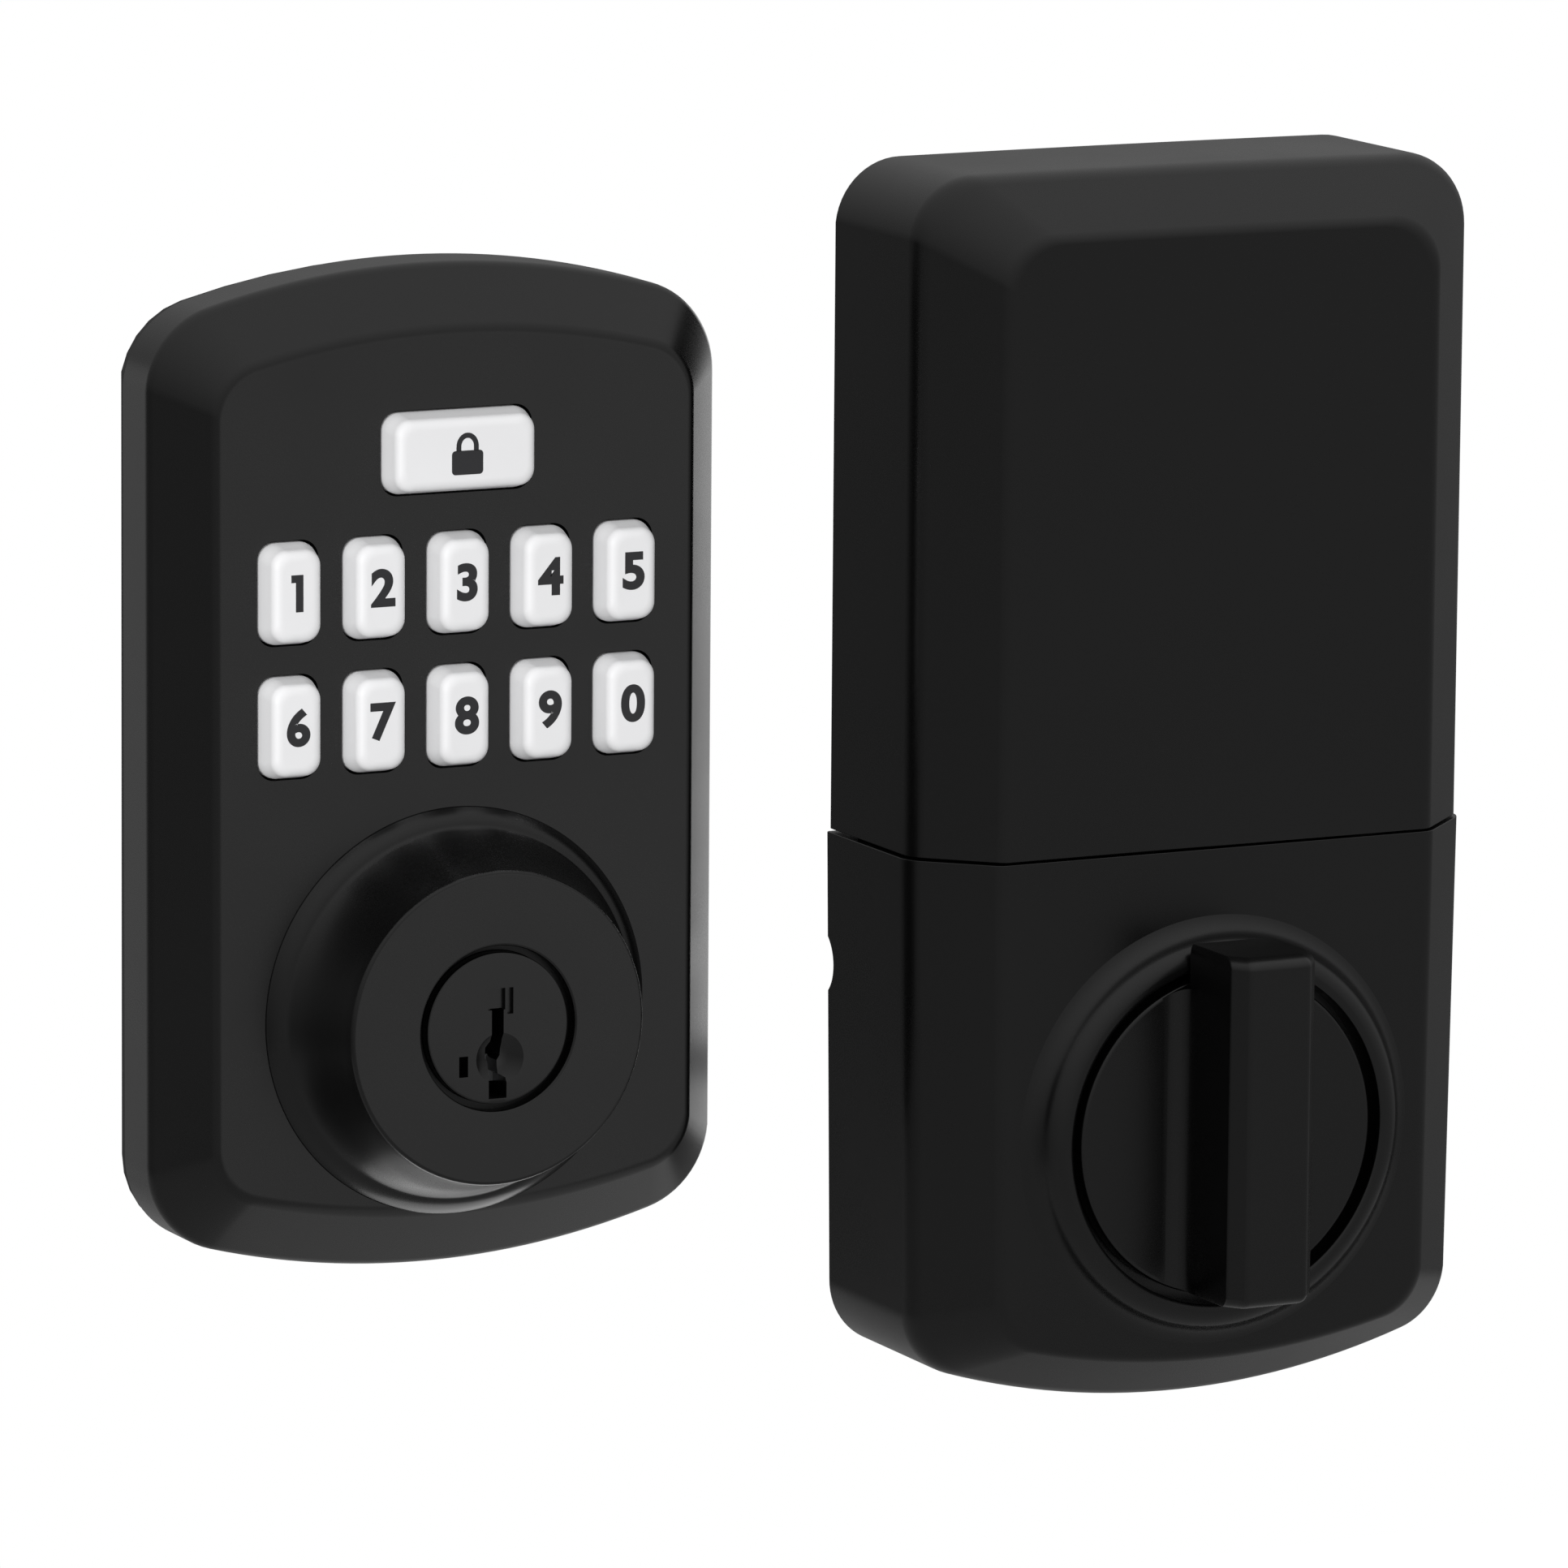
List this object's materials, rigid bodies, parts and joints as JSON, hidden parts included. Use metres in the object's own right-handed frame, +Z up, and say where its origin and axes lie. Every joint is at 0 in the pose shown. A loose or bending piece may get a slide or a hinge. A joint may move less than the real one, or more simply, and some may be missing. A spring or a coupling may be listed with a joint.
{
  "type": "keypad smart lock",
  "caption": "Keypad door lock in two units on one door plane: an outside unit with number keys and key cylinder, and an inside unit with battery cover and thumb-turn.",
  "frame": {"origin": "middle of the keypad unit's back, on the door face, level with the middle of its height", "axes": "+Z up, +X from the keypad unit towards the battery unit along the door face, +Y out of the units' backs into the door"},
  "size_m": [0.1769, 0.0766, 0.1583],
  "materials": {
    "black_paint": "satin black paint with a very fine grain",
    "keycap": "fine matt pale grey with black figures",
    "black_plastic": "matt moulded black",
    "steel": "zinc-plated",
    "rubber": "matt",
    "circuit_board": "solder-masked laminate",
    "cell_skin": "plain printed sleeve without text",
    "nylon": "moulded natural nylon"
  },
  "bodies": {
    "fixed": {"exterior_housing": "black_paint", "interior_housing": "black_paint", "cylinder_body": "black_paint", "interior_chassis": "black_plastic", "battery_holder": "black_plastic", "program_switch": "black_plastic", "position_switch": "black_plastic", "exterior_back_plate": "steel", "back_plate_screw_1": "steel", "back_plate_screw_2": "steel", "back_plate_screw_3": "steel", "back_plate_screw_4": "steel", "mounting_post_left": "steel", "mounting_post_right": "steel", "interior_mounting_plate": "steel", "chassis_screw_1": "steel", "chassis_screw_2": "steel", "chassis_screw_3": "steel", "mounting_bolt_left": "steel", "mounting_bolt_right": "steel", "contact_strip_lower": "steel", "contact_strip_upper": "steel", "gear_motor": "steel", "exterior_gasket": "rubber", "keypad_membrane": "rubber", "keypad_board": "circuit_board", "control_board": "circuit_board", "battery_1": "cell_skin", "battery_2": "cell_skin", "battery_3": "cell_skin", "battery_4": "cell_skin", "keypad_cable_socket": "nylon"},
    "key_1_body": {"key_1": "keycap"},
    "key_2_body": {"key_2": "keycap"},
    "key_3_body": {"key_3": "keycap"},
    "key_4_body": {"key_4": "keycap"},
    "key_5_body": {"key_5": "keycap"},
    "key_6_body": {"key_6": "keycap"},
    "key_7_body": {"key_7": "keycap"},
    "key_8_body": {"key_8": "keycap"},
    "key_9_body": {"key_9": "keycap"},
    "key_0_body": {"key_0": "keycap"},
    "lock_key_body": {"lock_key": "keycap"},
    "plug": {"cylinder_plug": "black_paint", "plug_clip": "steel", "torque_blade": "steel", "wafer_1": "steel", "wafer_2": "steel", "wafer_3": "steel", "wafer_4": "steel", "wafer_5": "steel"},
    "turn": {"thumb_turn": "black_paint", "turn_spindle": "steel", "main_gear": "nylon"},
    "idler": {"idler_gear": "nylon"},
    "pinion": {"motor_pinion": "nylon"},
    "cover": {"battery_cover": "black_paint"},
    "program_key": {"program_button": "rubber"}
  },
  "joints": [
    {"name": "key_1_press", "type": "slide", "parent": "fixed", "child": "key_1_body", "axis": [0, 1, 0], "range_m": [0, 0.0012], "stiffness_N_per_m": 400, "springref_m": -0.0008},
    {"name": "key_2_press", "type": "slide", "parent": "fixed", "child": "key_2_body", "axis": [0, 1, 0], "range_m": [0, 0.0012], "stiffness_N_per_m": 400, "springref_m": -0.0008},
    {"name": "key_3_press", "type": "slide", "parent": "fixed", "child": "key_3_body", "axis": [0, 1, 0], "range_m": [0, 0.0012], "stiffness_N_per_m": 400, "springref_m": -0.0008},
    {"name": "key_4_press", "type": "slide", "parent": "fixed", "child": "key_4_body", "axis": [0, 1, 0], "range_m": [0, 0.0012], "stiffness_N_per_m": 400, "springref_m": -0.0008},
    {"name": "key_5_press", "type": "slide", "parent": "fixed", "child": "key_5_body", "axis": [0, 1, 0], "range_m": [0, 0.0012], "stiffness_N_per_m": 400, "springref_m": -0.0008},
    {"name": "key_6_press", "type": "slide", "parent": "fixed", "child": "key_6_body", "axis": [0, 1, 0], "range_m": [0, 0.0012], "stiffness_N_per_m": 400, "springref_m": -0.0008},
    {"name": "key_7_press", "type": "slide", "parent": "fixed", "child": "key_7_body", "axis": [0, 1, 0], "range_m": [0, 0.0012], "stiffness_N_per_m": 400, "springref_m": -0.0008},
    {"name": "key_8_press", "type": "slide", "parent": "fixed", "child": "key_8_body", "axis": [0, 1, 0], "range_m": [0, 0.0012], "stiffness_N_per_m": 400, "springref_m": -0.0008},
    {"name": "key_9_press", "type": "slide", "parent": "fixed", "child": "key_9_body", "axis": [0, 1, 0], "range_m": [0, 0.0012], "stiffness_N_per_m": 400, "springref_m": -0.0008},
    {"name": "key_0_press", "type": "slide", "parent": "fixed", "child": "key_0_body", "axis": [0, 1, 0], "range_m": [0, 0.0012], "stiffness_N_per_m": 400, "springref_m": -0.0008},
    {"name": "lock_key_press", "type": "slide", "parent": "fixed", "child": "lock_key_body", "axis": [0, 1, 0], "range_m": [0, 0.0012], "stiffness_N_per_m": 400, "springref_m": -0.0008},
    {"name": "plug_turn", "type": "hinge", "parent": "fixed", "child": "plug", "pos_m": [0, 0, -0.0298], "axis": [0, 1, 0], "range_deg": [-90, 90]},
    {"name": "thumb_turn_rotate", "type": "hinge", "parent": "fixed", "child": "turn", "pos_m": [0.0988, 0, -0.0504], "axis": [0, 1, 0], "range_deg": [0, 90]},
    {"name": "idler_spin", "type": "hinge", "parent": "fixed", "child": "idler", "pos_m": [0.11307, 0, -0.03339], "axis": [0, 1, 0], "range_deg": [-160, 0]},
    {"name": "pinion_spin", "type": "hinge", "parent": "fixed", "child": "pinion", "pos_m": [0.12503, 0, -0.02781], "axis": [0, 1, 0], "range_deg": [0, 255]},
    {"name": "battery_cover_lift", "type": "slide", "parent": "fixed", "child": "cover", "axis": [0, 0, 1], "range_m": [0, 0.03]},
    {"name": "program_press", "type": "slide", "parent": "fixed", "child": "program_key", "axis": [0, 1, 0], "range_m": [0, 0.0006], "stiffness_N_per_m": 500, "springref_m": -0.0006}
  ],
  "couplings": [
    {"joint": "idler_spin", "follows": "thumb_turn_rotate", "ratio": -1.75},
    {"joint": "pinion_spin", "follows": "thumb_turn_rotate", "ratio": 2.8}
  ]
}
